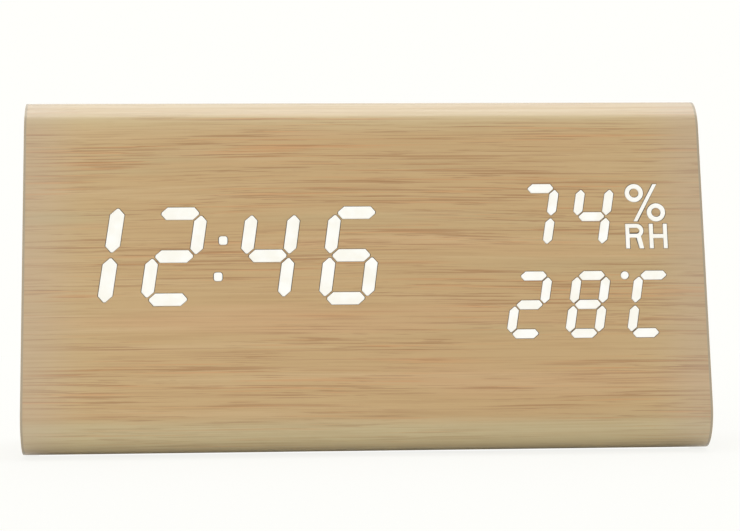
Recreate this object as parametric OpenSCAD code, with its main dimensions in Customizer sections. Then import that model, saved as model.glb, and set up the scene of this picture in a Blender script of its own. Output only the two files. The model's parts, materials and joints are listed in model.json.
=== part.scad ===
// Wedge-shaped wooden desk clock. Mitred fibreboard walls carry a printed wood film, and bar
// figures shine through it from a light box behind the front wall. The back carries three push
// buttons, two vents and a power socket, and the base a tray of four cells behind a hinged door.
// Millimetres. X runs along the clock, the front faces -Y, and the feet stand on Z = 0.

/* [Case] */
// Length of the clock from end to end
case_w = 150; // [132:1:200]
// Depth of the clock at its base
case_d = 45; // [40:0.5:60]
// Height of the wooden body without its feet
case_h = 77; // [69:1:100]
// Outside radius of the three long edges
edge_r = 8; // [6.5:0.5:8]
// Thickness of the printed wood film
wrap_t = 0.4; // [0.3:0.1:0.8]
// Thickness of the fibreboard walls
board_t = 4; // [3:0.5:5]
// Thickness of the end boards
end_t = 3; // [2:0.5:3.5]
// Thickness of the veneer on each end
veneer_t = 0.5; // [0.3:0.1:0.8]

/* [Feet] */
// Height of the rubber feet
foot_h = 0.5; // [0.4:0.1:2]
// Radius of a foot
foot_r = 3; // [2:0.5:4]
// Distance from a foot's centre to the nearer end of the case
foot_end = 9; // [6:1:10]
// Distance from a foot's centre in to the start of the base's round edge
foot_in = 7.5; // [3.5:0.1:9]

/* [Shown values] */
// Hours that the display shows
shown_hours = 12; // [1:1:12]
// Minutes that the display shows
shown_minutes = 46; // [0:1:59]
// Humidity that the display shows, in percent
shown_humidity = 74; // [20:1:95]
// Temperature that the display shows, in degrees
shown_temperature = 28; // [0:1:50]

/* [Time figures] */
// Slant of the time figures from upright, in degrees
time_slant = 8; // [0:1:10]
// Height of a time figure between the centre lines of its bars
time_h = 19.2; // [16:0.2:22]
// Width of a time figure between the centre lines of its bars
time_w = 9.3; // [8:0.1:10]
// Thickness of a time figure's bars
time_bar = 2.7; // [2:0.05:3]
// Gap from the sharp point of a time bar, before it is blunted, to the figure's corner
time_gap = 0.38; // [0.3:0.02:0.6]
// Half of the blunt width at a time bar's tip
time_tip = 0.2; // [0.1:0.02:0.4]
// Distance between neighbouring time figures
time_pitch = 18.3; // [17:0.1:19]
// Extra distance between hours and minutes for the colon
colon_room = 2.1; // [1.5:0.1:4]
// Side of a colon dot
colon_dot = 1.85; // [1.5:0.05:2.5]
// Distance between the two colon dots
colon_span = 8.1; // [6:0.1:10]
// Distance from the time's middle down to the colon's middle
colon_drop = 0.55; // [0:0.05:1]
// Distance from the light box's left edge to the colon
time_in = 36.6; // [35:0.1:40]
// Place of the time up the front, from its middle
time_v = 2.7; // [0:0.1:5]
// Length of each bar of the leading one
one_len = 9.7; // [9:0.1:11]
// Gap between the two bars of the leading one
one_part = 1.4; // [0.8:0.1:2]
// Distance from the time's middle up to the middle of the leading one
one_up = 0.35; // [0:0.05:0.6]
// Thickness of the bars of the leading one
one_bar = 3.1; // [2:0.1:3.5]

/* [Small figures] */
// Slant of the small figures from upright, in degrees
small_slant = 10; // [0:1:11]
// Height of a small figure between the centre lines of its bars
small_h = 12.9; // [11:0.1:14]
// Width of a small figure between the centre lines of its bars
small_w = 6.4; // [5.5:0.1:7]
// Thickness of a small figure's bars
small_bar = 1.95; // [1.6:0.05:2.3]
// Gap from the sharp point of a small bar, before it is blunted, to the figure's corner
small_gap = 0.28; // [0.22:0.01:0.4]
// Half of the blunt width at a small bar's tip
small_tip = 0.14; // [0.08:0.02:0.3]
// Distance from the last humidity figure to the unit marks
humidity_back = 12.1; // [11.5:0.1:16]
// Place of the humidity up the front
humidity_v = 11.1; // [10:0.1:13]
// Distance between the humidity figures
humidity_pitch = 12.3; // [11.5:0.1:14]
// Distance from the last temperature figure to the unit marks
temperature_back = 13.7; // [13:0.1:17]
// Place of the temperature up the front
temperature_v = -8.7; // [-10:0.1:-7.5]
// Distance between the temperature figures
temperature_pitch = 12.9; // [11.5:0.1:14]

/* [Unit marks] */
// Outside radius of the percent mark's rings
ring_r = 2.02; // [1.8:0.02:2.2]
// Thickness of the percent mark's rings
ring_t = 0.95; // [0.8:0.05:1.2]
// Offset of the percent rings from the mark's middle, along the front
ring_du = 2.38; // [2.2:0.02:2.6]
// Offset of the percent rings from the mark's middle, up the front
ring_dv = 2.22; // [2.1:0.02:2.4]
// Distance from the humidity's middle up to the percent mark's middle
percent_rise = 3.1; // [2.8:0.1:3.5]
// Height of the slash of the percent mark
slash_h = 8.4; // [7:0.1:8.6]
// Width of the slash, measured along the front
slash_w = 0.85; // [0.7:0.05:1.1]
// Run of the slash along the front, from foot to head
slash_run = 4.6; // [4:0.1:5]
// Height of the two letters under the percent mark
letter_h = 5.5; // [5:0.1:5.6]
// Width of a letter
letter_w = 3.95; // [3.5:0.05:4]
// Gap between the letters
letter_gap = 1.35; // [1:0.05:1.5]
// Stroke of a letter
letter_t = 0.82; // [0.7:0.02:1]
// Distance from the humidity's middle down to the letters' middle
letter_drop = 4.5; // [4.4:0.1:5]
// Radius of the degree dot
degree_r = 0.84; // [0.7:0.02:1.1]
// Distance from the degree dot to the middle of the degree letter
degree_du = 6.4; // [5.8:0.1:6.6]

/* [Light box] */
// Gap between the light box's flange and the end boards
box_gap = 0.8; // [0.4:0.1:2]
// Room between the outermost marks and the edge of the light box
display_margin = 1.7; // [1.2:0.1:1.8]
// Thickness of the black mask behind the film
mask_t = 0.2; // [0.1:0.05:0.3]
// Depth of the light box
reflector_h = 8.2; // [7:0.1:9]
// Thickness of the light box flange behind the wall
flange_t = 1.6; // [1.2:0.1:2]
// Width of the light box flange
flange_m = 2.2; // [1.5:0.1:2.4]
// Width of a screw ear on the flange
ear_w = 7; // [6:0.5:9]
// Height of a screw ear on the flange
ear_h = 5; // [4.6:0.1:5.5]
// Distance from the end of the light box to the middle of a screw ear
ear_in = 23.5; // [12:0.5:40]
// Thickness of the circuit boards
pcb_t = 1.6; // [1.2:0.2:1.6]
// Height of a light chip
led_h = 0.6; // [0.4:0.1:0.8]
// Radius of the light box pins that hold its circuit board
stake_r = 0.6; // [0.5:0.05:0.7]

/* [Buttons] */
// Radius of a push button
button_r = 3.5; // [3:0.25:4]
// Distance between neighbouring buttons
button_pitch = 14; // [13:0.5:17]
// Distance from the circuit board's upper edge down to the buttons
button_drop = 4.5; // [4:0.1:5.5]
// How far a button stands out of the back
button_proud = 1.4; // [1.2:0.1:2]
// Travel of a button
button_travel = 0.6; // [0.3:0.1:0.7]
// Radius of a switch plunger
plunger_r = 1.7; // [1.2:0.1:2]
// Side of a switch body
switch_w = 6; // [5:0.5:6]
// Height of a switch body
switch_h = 3.5; // [3.2:0.1:4]

/* [Back fittings] */
// Width of the circuit board behind the back wall
main_w = 104; // [98:1:112]
// Height of the circuit board behind the back wall
main_h = 24; // [23:0.5:24.5]
// Gap between the battery tray and that circuit board above it
main_clear = 2.21; // [1.5:0.01:2.6]
// Radius of a board spacer
spacer_r = 2.5; // [2:0.25:2.75]
// Distance from the circuit board's end to the power socket
usb_in = 15; // [14.5:0.5:16]
// Width of the power socket's mouth
usb_w = 7.6; // [7:0.1:8]
// Height of the power socket's mouth
usb_h = 2.8; // [2.4:0.1:3.2]
// Width of the plug recess in the back
recess_w = 12; // [11:0.5:13]
// Height of the plug recess in the back
recess_h = 8; // [7:0.5:9]
// Width of a vent grille
vent_w = 13; // [11:0.5:14]
// Height of a vent grille
vent_h = 7; // [6:0.5:7.5]
// Distance from the circuit board's end to the sensor vent
vent_in = 15; // [14.5:0.5:18]
// Number of slots in a vent grille
vent_slots = 6; // [4:1:7]
// Width of a vent slot
slot_w = 1; // [0.8:0.1:1.1]
// Radius of the buzzer
buzzer_r = 6; // [5:0.5:6]
// Height of the buzzer
buzzer_h = 6; // [4:0.5:6.5]

/* [Cells] */
// Radius of a cell with its sleeve
cell_r = 5.25; // [5:0.05:5.3]
// Length of a cell with its nub
cell_len = 44.5; // [43:0.1:45]
// Radius of the nub at a cell's positive end
nub_r = 1.9; // [1.6:0.1:2.2]
// Height of the nub at a cell's positive end
nub_h = 1; // [0.8:0.1:1.2]
// Gap between the two rows of cells
row_gap = 1.1; // [0.8:0.1:1.2]
// Room for a contact spring at a cell's negative end
spring_len = 4.4; // [4:0.1:5]
// Wire thickness of a contact spring
spring_wire = 0.5; // [0.4:0.05:0.6]
// Turns of a contact spring
spring_turns = 3; // [2:1:3]
// Thickness of a contact plate
plate_t = 0.4; // [0.3:0.05:0.5]

/* [Battery tray] */
// Thickness of the tray's walls
tray_wall = 1.2; // [1:0.1:1.3]
// Width of the tray's rim beyond its long walls
tray_rim = 1.2; // [0.8:0.1:1.2]
// Length of the tray's rim beyond its end walls
tray_lug = 6.5; // [5.5:0.5:7]
// Thickness of the battery door and of the tray's rim
door_t = 1.6; // [1.4:0.1:2]
// Radius of the door's hinge knuckles
barrel_r = 1.3; // [1.2:0.05:1.5]
// Radius of the door's hinge pins
pin_r = 0.7; // [0.5:0.05:0.7]

/* [Fits] */
// Clearance round parts that are seated and glued or screwed
seat_fit = 0.1; // [0.05:0.05:0.2]
// Clearance round parts that turn or slide
running_fit = 0.05; // [0.03:0.01:0.08]
// Clearance round the battery door
door_fit = 0.3; // [0.2:0.05:0.4]
// Dark line round each lit mark in the film
mark_gap = 0.15; // [0.06:0.01:0.16]

/* [Hidden] */
$fn = 64;
// Cutters pass this far beyond the faces that they cut
over = 1;

// Section of the case: the centres of its three round edges, and the lean of front and back
low_y = case_d / 2 - edge_r;
low_z = foot_h + edge_r;
top_z = foot_h + case_h - edge_r;
lean = atan(low_y / (top_z - low_z));
flat_len = norm([low_y, top_z - low_z]);
edge_centres = [[-low_y, low_z], [low_y, low_z], [0, top_z]];
// Where the mitre planes of the three walls meet
mitre_hub = [0, low_z + low_y * (top_z - low_z) / (low_y + flat_len)];
mitre_reach = 4;
// Middle of the front's flat, on its outer face
face_y = low_y / 2 + edge_r * cos(lean);
face_z = (low_z + top_z) / 2 + edge_r * sin(lean);
body_w = case_w - 2 * veneer_t;
wall_t = wrap_t + board_t;

// Bars of a figure in the order a to g, and the bars that each digit lights
bar_letters = "abcdefg";
digit_bars = [
    "abcdef", "bc", "abged", "abgcd", "fgbc", "afgcd", "afgecd", "abc", "abcdefg", "abcdfg"
];
degree_bars = "afed";
// The light box fits between the end boards, and the marks keep their places in it
display_half = body_w / 2 - end_t - box_gap - flange_m;
time_u = time_in - display_half;
units_u = display_half - display_margin - letter_w - letter_gap / 2;
humidity_u = units_u - humidity_back;
temperature_u = units_u - temperature_back;
time_size = [time_w, time_h, time_bar, time_gap, time_slant, time_tip];
small_size = [small_w, small_h, small_bar, small_gap, small_slant, small_tip];
time_figures = [
    [time_u - (time_pitch + colon_room) / 2, time_v, digit_bars[ones(shown_hours)]],
    [time_u + (time_pitch + colon_room) / 2, time_v, digit_bars[tens(shown_minutes)]],
    [time_u + (3 * time_pitch + colon_room) / 2, time_v, digit_bars[ones(shown_minutes)]]
];
one_u = time_u - (3 * time_pitch + colon_room) / 2 + time_w / 2;
one_v = time_v + one_up;
one_shown = tens(shown_hours) == 1;
one_rise = (one_len + one_part) / 2;
humidity_figures = [
    [humidity_u - humidity_pitch, humidity_v, digit_bars[tens(shown_humidity)]],
    [humidity_u, humidity_v, digit_bars[ones(shown_humidity)]]
];
temperature_figures = [
    [temperature_u - temperature_pitch, temperature_v, digit_bars[tens(shown_temperature)]],
    [temperature_u, temperature_v, digit_bars[ones(shown_temperature)]]
];
degree_figures = [[units_u, temperature_v, degree_bars]];
colon_round = colon_dot * 0.3;
percent_v = humidity_v + percent_rise;
letter_v = humidity_v - letter_drop;
degree_u = units_u - degree_du + small_h / 2 * tan(small_slant);
degree_v = temperature_v + small_h / 2;

// Letter R: its bowl as a share of its height, and its leg in strokes from the right
bowl_share = 0.28;
leg_out = 1.9;
leg_in = 0.75;
leg_foot = 1.12;

// Light box, tall enough for all the marks
display_top = humidity_v + (small_h + small_bar) / 2 + display_margin;
display_bottom = temperature_v - (small_h + small_bar) / 2 - display_margin;
display_v = (display_top + display_bottom) / 2;
display_h = display_top - display_bottom;
mask_back = wrap_t + mask_t;
reflector_back = mask_back + reflector_h;
led_back = reflector_back + pcb_t;
guide_fit = 0.05;
guide_back = reflector_back - led_h - guide_fit;
led_w = 1.6;
led_d = 0.8;
led_size = [led_w, led_d];
small_led = 0.6;
ear_u = display_half - ear_in;
stake_inset = 1.3;
stake_head_r = 1;
stake_head_h = 0.5;
driver_w = 7.5;
driver_d = 5.4;
driver_h = 1.5;
driver_u = 22;
screw_r = 0.9;
screw_head_r = 1.8;
screw_head_h = 1.1;
screw_bite = 2.4;
cross_share = 0.7;
cross_w = 0.5;
cross_deep = 0.6;

// Battery tray and its cells, in the frame of the case
sleeve_t = 0.15;
sleeve_fit = 0.02;
sleeve_bare = 1.2;
row_y = cell_r + row_gap / 2;
cell_room = 0.75;
cell_lift = 0.35;
cell_head = 0.45;
partition_t = 1.2;
bay_len = cell_len + spring_len + 2 * plate_t;
bay_half_l = partition_t / 2 + bay_len;
bay_half_w = row_y + cell_r + cell_room;
rim_top = foot_h + door_t;
cell_z = rim_top + cell_lift + cell_r;
bay_top = cell_z + cell_r + cell_head;
tray_top = bay_top + tray_wall;
tray_half_l = bay_half_l + tray_wall;
tray_half_w = bay_half_w + tray_wall;
rim_half_l = tray_half_l + tray_lug;
rim_half_w = tray_half_w + tray_rim;
// Each cell: the half of the tray that it lies in, its row, and the way its nub points
cells = [[-1, 1, 1], [1, 1, 1], [-1, -1, -1], [1, -1, -1]];
plate_w = 7.4;
tab_w = 2;
tab_up = 1.8;
hinge_x = -bay_half_l + door_fit + barrel_r;
hinge_z = foot_h + barrel_r;
pin_len = 1;
knuckle_len = 2.5;
rib_h = 0.25;
rib_w = 1.5;
rib_pitch = 15;
latch_w = 3.6;
latch_t = 0.9;
latch_h = 2;
notch_r = 7;
notch_deep = 0.6;
notch_len = 5;
tray_screw_x = tray_half_l + tray_lug / 2;
tray_screw_y = 8;
tray_screw_len = 3.8;
spring_base_r = 3.1;
spring_tip_r = 2;
spring_rings = 8;
spring_sides = 6;

// Back fittings, as depths below the back's outer face
collar_wall = 0.9;
collar_lip = 1.1;
collar_lip_t = 0.5;
cap_round = 0.4;
cap_mark_deep = 0.25;
cap_mark_r = button_r / 2;
cap_mark_t = 0.55;
button_flange_r = button_r + collar_wall - seat_fit;
button_flange_t = 1;
button_flange_top = wall_t + seat_fit;
stem_step = 0.2;
stem_r = plunger_r - stem_step;
stem_len = 1.9;
plunger_up = 1;
plunger_in = 1.3;
plunger_top = button_flange_top + button_flange_t + stem_len;
switch_top = plunger_top + plunger_up;
main_face = switch_top + switch_h;
main_back = main_face + pcb_t;
main_bottom = (tray_top + main_clear + main_back * sin(lean) - face_z) / cos(lean);
main_top = main_bottom + main_h;
main_v = main_bottom + main_h / 2;
button_v = main_top - button_drop;
buttons_u = [-button_pitch, 0, button_pitch];
spacer_end = 0.8;
spacer_edge = 0.3;
spacer_u = main_w / 2 - spacer_r - spacer_end;
spacer_v = main_h / 2 - spacer_r - spacer_edge;
spots = [[-1, -1], [-1, 1], [1, -1], [1, 1]];
bezel_wall = 0.9;
bezel_lip = 1.2;
bezel_lip_t = 0.6;
usb_u = main_w / 2 - usb_in;
usb_v = button_v;
usb_wall = 0.3;
usb_sink = 0.4;
usb_mouth = wall_t + usb_sink;
usb_corner = 0.7;
tongue_w = 3.8;
tongue_t = 0.8;
vent_lip = 1;
vent_lip_t = 0.6;
vent_deep = 2.4;
vent_u = main_w / 2 - vent_in;
vent_v = button_v;
buzzer_edge = 0.6;
buzzer_v = main_bottom + buzzer_r + buzzer_edge;
buzzer_hole_r = 1;
vents = [[-vent_u, vent_v], [0, buzzer_v]];
chip_w = 10;
chip_d = 7.5;
chip_h = 1.6;
chip_u = -18;
chip_up = 1.5;
chip_v = main_v + chip_up;
crystal_r = 1;
crystal_len = 6;
crystal_u = -32;
capacitor_r = 2;
capacitor_h = 5;
capacitor_pitch = 6;
capacitor_u = 30;
capacitors = [[capacitor_u, chip_v], [capacitor_u, chip_v - capacitor_pitch]];
sensor_w = 4;
sensor_h = 1.4;
mic_r = 3;
mic_h = 2.6;
mic_out = 1;
mic_u = -vent_u - mic_out;
mic_drop = 9.5;
mic_v = vent_v - mic_drop;

// Ribbon between the two circuit boards: a straight stub, then an arc that meets both squarely
socket_w = 18;
socket_t = 3.2;
socket_h = 2.5;
ribbon_w = 14;
ribbon_t = 0.6;
ribbon_up = 3.9;
ribbon_v = display_bottom + ribbon_up;
ribbon_depth = main_back + socket_h;
ribbon_y = -face_y + ribbon_v * sin(lean) + ribbon_depth * cos(lean);
ribbon_z = face_z + ribbon_v * cos(lean) - ribbon_depth * sin(lean);
ribbon_r = -ribbon_y / sin(lean);

// Battery leads: wire, and routes from the tray's tabs to pads on the circuit board
lead_d = 1;
lead_sides = 8;
lead_up = 1.1;
lead_out = 1.8;
pad_lift = 0.05;
pad_up = 2.2;
positive_pad = 8;
negative_pad = 12.6;
function behind(x, v, depth) = [
    x, face_y - v * sin(lean) - depth * cos(lean), face_z + v * cos(lean) - depth * sin(lean)
];
function tab_spot(side) = [bay_half_l - plate_t, side * row_y, tray_top + lead_up];
function pad_spot(inset, out) = behind(main_w / 2 - inset, main_bottom + pad_up, main_back + out);
positive_start = tab_spot(1);
positive_end = pad_spot(positive_pad, lead_out);
positive_route = [
    positive_start, positive_start + [-1.1, 0, 0], positive_start + [-2.9, -0.6, 0.1],
    positive_start + [-4.7, -1.5, 1], positive_end + [0.2, -0.6, -0.6], positive_end,
    pad_spot(positive_pad, pad_lift)
];
negative_start = tab_spot(-1);
negative_end = pad_spot(negative_pad, lead_out);
negative_route = [
    negative_start, negative_start + [-1.1, 0, 0], negative_start + [-3.4, 0.6, -0.1],
    negative_start + [-6.4, 2.6, -0.1], negative_start + [-8.9, 5.6, 0.1],
    negative_end + [0.2, -2, -1.6], negative_end + [0, -0.8, -0.4], negative_end,
    pad_spot(negative_pad, pad_lift)
];

// Colours
film_tan = "BurlyWood";
board_brown = "Peru";
light_white = "FloralWhite";
box_white = "WhiteSmoke";
mask_black = [0.08, 0.08, 0.09];
pcb_green = "DarkGreen";
plastic_black = [0.12, 0.12, 0.13];
metal_grey = "Silver";

function tens(n) = floor(n / 10);
function ones(n) = n % 10;
function lights(letters, i) = len(search(bar_letters[i], letters)) > 0;
function turn_up(p, upright) = upright ? [p[1], p[0]] : p;
function shear(p, angle) = [p[0] + p[1] * tan(angle), p[1]];

// Centre of bar i of a figure, before its slant, and whether the bar stands upright
function bar_centre(i, size) =
    let (w = size[0] / 2, h = size[1] / 2)
    [[0, h], [w, h / 2], [w, -h / 2], [0, -h], [-w, -h / 2], [-w, h / 2], [0, 0]][i];
function bar_upright(i) = i == 1 || i == 2 || i == 4 || i == 5;

// Outline of a pointed bar about its own centre: half-length e to its sharp points, half-thickness s,
// and points cut square at half-width b
function pointed_bar(e, s, b) = [
    [b - e, b], [s - e, s], [e - s, s], [e - b, b], [e - b, -b], [e - s, -s], [s - e, -s], [b - e, -b]
];
// A bar that grows all round: its points move out further than its sides, and its blunt tips widen
function point_out(grow) = grow * sqrt(2);
function tip_out(grow) = point_out(grow) - grow;
function bar_outline(i, size, grow) =
    let (
        up = bar_upright(i),
        e = (up ? size[1] / 4 : size[0] / 2) - size[3] + point_out(grow),
        s = size[2] / 2 + grow,
        b = size[5] + tip_out(grow)
    )
    [for (p = pointed_bar(e, s, b)) shear(turn_up(p, up) + bar_centre(i, size), size[4])];
function one_outline(side, grow) =
    let (
        e = one_len / 2 + time_tip + point_out(grow),
        s = one_bar / 2 + grow,
        b = time_tip + tip_out(grow)
    )
    [for (p = pointed_bar(e, s, b)) shear(turn_up(p, true) + [0, side * one_rise], time_slant)];

function colon_spot(side) =
    [time_u, time_v] + shear([0, side * colon_span / 2 - colon_drop], time_slant);

module section(depth) {
    r = edge_r - depth;
    out_y = r * cos(lean);
    out_z = r * sin(lean);
    polygon([
        [-low_y, low_z - r], [low_y, low_z - r], [low_y + out_y, low_z + out_z],
        [out_y, top_z + out_z], [-out_y, top_z + out_z], [-low_y - out_y, low_z + out_z]
    ]);
    for (c = edge_centres) translate(c) circle(r);
}

module along_x(length) {
    rotate([90, 0, 90]) linear_extrude(length, center = true) children();
}

// Frame of the front's outer face: X along it, Y up it and Z out of it
module on_front() {
    translate([0, -face_y, face_z]) rotate([90 - lean, 0, 0]) children();
}

// Frame of the back's outer face, seen from behind
module on_back() {
    rotate([0, 0, 180]) on_front() children();
}

// Extrudes a flat shape between two depths below the face
module between(near, far) {
    translate([0, 0, -far]) linear_extrude(far - near) children();
}

module plate(w, h) {
    square([w, h], center = true);
}

// One mitred wall, between two of the case's edges
module wall_board(a, b) {
    along_x(body_w) intersection() {
        difference() {
            section(wrap_t);
            section(wall_t);
        }
        polygon([
            mitre_hub,
            mitre_hub + mitre_reach * (edge_centres[a] - mitre_hub),
            mitre_hub + mitre_reach * (edge_centres[b] - mitre_hub)
        ]);
    }
}

module figures(list, size, grow, lit_only) {
    for (f = list, i = [0:6]) {
        if (!lit_only || lights(f[2], i)) translate([f[0], f[1]]) polygon(bar_outline(i, size, grow));
    }
}

module round_square(side, r) {
    square([side, side - 2 * r], center = true);
    square([side - 2 * r, side], center = true);
    for (s = spots) translate((side / 2 - r) * s) circle(r);
}

module time_marks(grow, lit_only) {
    figures(time_figures, time_size, grow, lit_only);
    if (!lit_only || one_shown) {
        for (side = [-1, 1]) translate([one_u, one_v]) polygon(one_outline(side, grow));
    }
    for (side = [-1, 1]) {
        translate(colon_spot(side))
            round_square(colon_dot + 2 * grow, colon_round + grow);
    }
}

module humidity_marks(grow, lit_only) {
    figures(humidity_figures, small_size, grow, lit_only);
}

module temperature_marks(grow, lit_only) {
    figures(temperature_figures, small_size, grow, lit_only);
}

module ring(grow) {
    difference() {
        circle(ring_r + grow);
        circle(ring_r - ring_t - grow);
    }
}

module slash(grow) {
    run = slash_run / 2;
    half = slash_w / 2 + grow;
    rise = slash_h / 2 + grow;
    polygon([[-run - half, -rise], [half - run, -rise], [run + half, rise], [run - half, rise]]);
}

module letter_r(grow) {
    w = letter_w + 2 * grow;
    h = letter_h + 2 * grow;
    t = letter_t + 2 * grow;
    bowl_r = h * bowl_share;
    lap = t / 10;
    translate([-w / 2, -h / 2]) square([t, h]);
    translate([-w / 2, h / 2 - t]) square([w - bowl_r + lap, t]);
    translate([-w / 2, h / 2 - 2 * bowl_r]) square([w - bowl_r + lap, t]);
    translate([w / 2 - bowl_r, h / 2 - bowl_r]) difference() {
        circle(bowl_r);
        circle(bowl_r - t);
        translate([-2 * bowl_r, -bowl_r - over]) square([2 * bowl_r, 2 * bowl_r + 2 * over]);
    }
    polygon([
        [w / 2 - t * leg_out, h / 2 - 2 * bowl_r + t / 2], [w / 2 - t * leg_in, h / 2 - 2 * bowl_r + t / 2],
        [w / 2, -h / 2], [w / 2 - t * leg_foot, -h / 2]
    ]);
}

module letter_h_shape(grow) {
    w = letter_w + 2 * grow;
    h = letter_h + 2 * grow;
    t = letter_t + 2 * grow;
    for (side = [-1, 1]) translate([side * (w - t) / 2, 0]) square([t, h], center = true);
    square([w - t, t], center = true);
}

module unit_marks(grow, lit_only) {
    figures(degree_figures, small_size, grow, lit_only);
    translate([degree_u, degree_v]) circle(degree_r + grow);
    translate([units_u, percent_v]) {
        for (side = [-1, 1]) translate([side * ring_du, -side * ring_dv]) ring(grow);
        slash(grow);
    }
    translate([units_u - (letter_w + letter_gap) / 2, letter_v]) letter_r(grow);
    translate([units_u + (letter_w + letter_gap) / 2, letter_v]) letter_h_shape(grow);
}

// Wells behind the unit marks: the percent mark and the letters share a plain well each
module unit_wells(grow) {
    figures(degree_figures, small_size, grow, false);
    translate([degree_u, degree_v]) circle(degree_r + grow);
    translate([units_u, percent_v]) plate(2 * (ring_du + ring_r + grow), slash_h + 2 * grow);
    translate([units_u, letter_v]) plate(2 * (letter_w + grow) + letter_gap, letter_h + 2 * grow);
}

module all_wells(grow) {
    time_marks(grow, false);
    humidity_marks(grow, false);
    temperature_marks(grow, false);
    unit_wells(grow);
}

module all_marks(grow, lit_only) {
    time_marks(grow, lit_only);
    humidity_marks(grow, lit_only);
    temperature_marks(grow, lit_only);
    unit_marks(grow, lit_only);
}

module display_plate(grow) {
    translate([0, display_v]) plate(2 * (display_half + grow), display_h + 2 * grow);
}

// Places that repeat
module at_ears() {
    for (u = [-ear_u, ear_u], top = [0, 1]) {
        v = top ? display_top + flange_m + ear_h / 2 : display_bottom - flange_m - ear_h / 2;
        translate([u, v]) children();
    }
}

module at_stakes() {
    for (s = spots) {
        v = display_v + s[1] * (display_h / 2 - stake_inset);
        translate([s[0] * (display_half - stake_inset), v]) children();
    }
}

module at_spacers() {
    for (s = spots) translate([s[0] * spacer_u, main_v + s[1] * spacer_v]) children();
}

module at_buttons() {
    for (u = buttons_u) translate([u, button_v]) children();
}

module at_tray_screws() {
    for (s = spots) translate([s[0] * tray_screw_x, s[1] * tray_screw_y]) children();
}

// Pan-head screw along Z: its head stands on Z = 0 and its shank runs down
module pan_screw(shank) {
    difference() {
        union() {
            cylinder(r = screw_head_r, h = screw_head_h);
            translate([0, 0, -shank]) cylinder(r = screw_r, h = shank + screw_head_h / 2);
        }
        cross_slot(screw_head_h);
    }
}

module cross_slot(top) {
    slot = [2 * screw_head_r * cross_share, cross_w, cross_deep];
    for (turn = [0, 90]) {
        rotate([0, 0, turn]) translate([-slot[0] / 2, -slot[1] / 2, top - slot[2]])
            cube(slot + [0, 0, over]);
    }
}

// Wooden case

module wood_wrap() {
    color(film_tan) difference() {
        along_x(body_w) difference() {
            section(0);
            section(wrap_t);
        }
        on_front() between(-over, wrap_t + over) all_marks(mark_gap, true);
        back_cuts();
        tray_cut(seat_fit);
    }
}

module front_panel() {
    color(board_brown) difference() {
        wall_board(0, 2);
        on_front() {
            between(-over, wall_t + over) display_plate(seat_fit);
            between(wall_t - screw_bite, wall_t + over) at_ears() circle(screw_r + running_fit);
        }
    }
}

module back_panel() {
    color(board_brown) difference() {
        wall_board(1, 2);
        back_cuts();
        on_back() between(wall_t - screw_bite, wall_t + over) at_spacers() circle(screw_r + running_fit);
    }
}

module base_panel() {
    color(board_brown) difference() {
        wall_board(0, 1);
        tray_cut(seat_fit);
        translate([0, 0, rim_top - over]) linear_extrude(board_t + over) {
            plate(2 * (tray_half_l + seat_fit), 2 * (tray_half_w + seat_fit));
        }
        translate([0, 0, rim_top - over]) linear_extrude(board_t) at_tray_screws()
            circle(screw_r + running_fit);
    }
}

// Openings in the film and the back wall
module back_cuts() {
    on_back() between(-over, wall_t + over) {
        at_buttons() circle(button_r + running_fit + collar_wall + seat_fit);
        translate([usb_u, usb_v]) recess_plate(bezel_wall + seat_fit);
        for (v = vents) translate(v) plate(vent_w + 2 * seat_fit, vent_h + 2 * seat_fit);
    }
}

module recess_plate(grow) {
    plate(recess_w + 2 * grow, recess_h + 2 * grow);
}

// Recess in the base for the rim of the battery tray
module tray_cut(fit) {
    translate([0, 0, foot_h - over]) linear_extrude(door_t + over) {
        plate(2 * (rim_half_l + fit), 2 * (rim_half_w + fit));
    }
}

module end_panel(side) {
    color(board_brown) translate([side * (body_w - end_t) / 2, 0, 0]) along_x(end_t)
        section(wall_t + seat_fit);
}

module end_veneer(side) {
    color(film_tan) translate([side * (case_w - veneer_t) / 2, 0, 0]) along_x(veneer_t) section(0);
}

module rubber_feet() {
    color(plastic_black) for (s = spots) {
        translate([s[0] * (case_w / 2 - foot_end), s[1] * (low_y - foot_in), 0])
            cylinder(r = foot_r, h = foot_h);
    }
}

// Display

module lit(far) {
    color(light_white) on_front() between(0, far) children();
}

module light_mask() {
    color(mask_black) on_front() between(wrap_t, mask_back) difference() {
        display_plate(0);
        all_marks(guide_fit, false);
    }
}

module display_reflector() {
    color(box_white) on_front() {
        difference() {
            union() {
                between(mask_back, reflector_back) display_plate(0);
                between(wall_t, wall_t + flange_t) {
                    display_plate(flange_m);
                    at_ears() plate(ear_w, ear_h + 2 * seat_fit);
                }
            }
            between(0, reflector_back + over) all_wells(guide_fit);
            between(0, reflector_back) at_ears() circle(screw_r + seat_fit);
        }
        between(reflector_back, led_back) at_stakes() circle(stake_r);
        between(led_back, led_back + stake_head_h) at_stakes() circle(stake_head_r);
    }
}

module guides() {
    color(light_white) on_front() between(wrap_t, guide_back) children();
}

module unit_light_guides() {
    color(light_white) on_front() {
        between(wrap_t, mask_back) unit_marks(0, false);
        between(mask_back, guide_back) unit_wells(0);
    }
}

module led_board() {
    color(pcb_green) on_front() between(reflector_back, led_back) difference() {
        display_plate(0);
        at_stakes() circle(stake_r + seat_fit);
    }
}

module led_at(spot, size) {
    translate(spot) plate(size[0], size[1]);
}

module figure_leds(list, size) {
    for (f = list, i = [0:6]) {
        up = bar_upright(i);
        led_at([f[0], f[1]] + shear(bar_centre(i, size), size[4]), turn_up(led_size, up));
    }
}

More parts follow.
